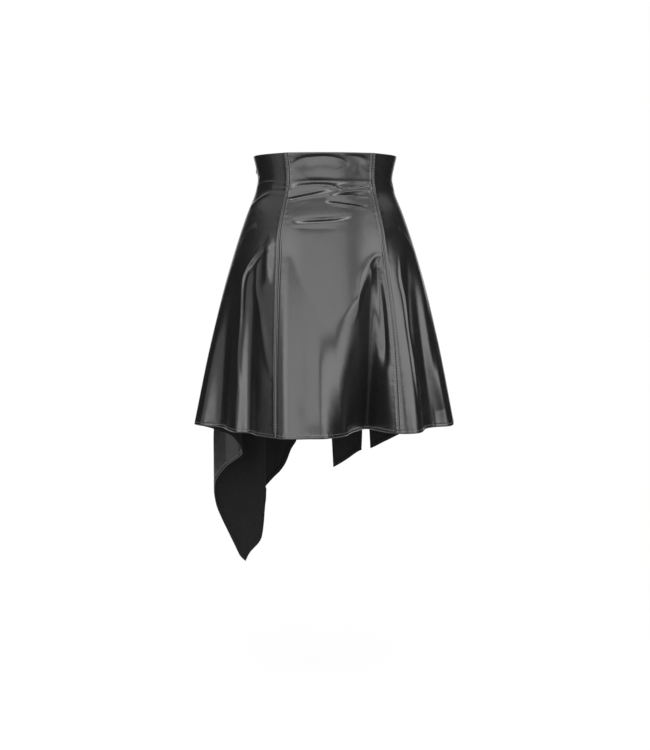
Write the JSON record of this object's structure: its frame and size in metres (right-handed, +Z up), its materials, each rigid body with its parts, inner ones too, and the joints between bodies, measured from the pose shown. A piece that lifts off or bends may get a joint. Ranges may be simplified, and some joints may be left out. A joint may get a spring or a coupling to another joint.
{
  "type": "leather midi skirt",
  "caption": "High-waisted flared leather midi skirt, level at the back, slit and drawn down to a long point in front, filled out as it is worn.",
  "frame": {"origin": "middle of the waist at its narrowest girth, where the wearer holds the skirt up", "axes": "+Z up, +Y to the wearer's front, +X to the wearer's right"},
  "size_m": [0.4947, 0.4281, 0.8118],
  "materials": {
    "leather": "smooth black leather, semi-gloss",
    "zip_tape": "woven tape, matt",
    "zip_metal": "dark gunmetal, satin"
  },
  "bodies": {
    "skirt": {"back_left": "leather", "back_centre": "leather", "back_right": "leather", "front_right": "leather", "front_strip": "leather", "front_point": "leather", "zip_tape": "zip_tape", "zip_slider": "zip_metal"},
    "pull": {"zip_pull": "zip_metal"}
  },
  "joints": [
    {"name": "zip_pull_swing", "type": "hinge", "parent": "skirt", "child": "pull", "pos_m": [-0.12907, 0.0274, 0.02884], "axis": [0.3669, 0.9303, 0], "range_deg": [-8, 160]}
  ]
}
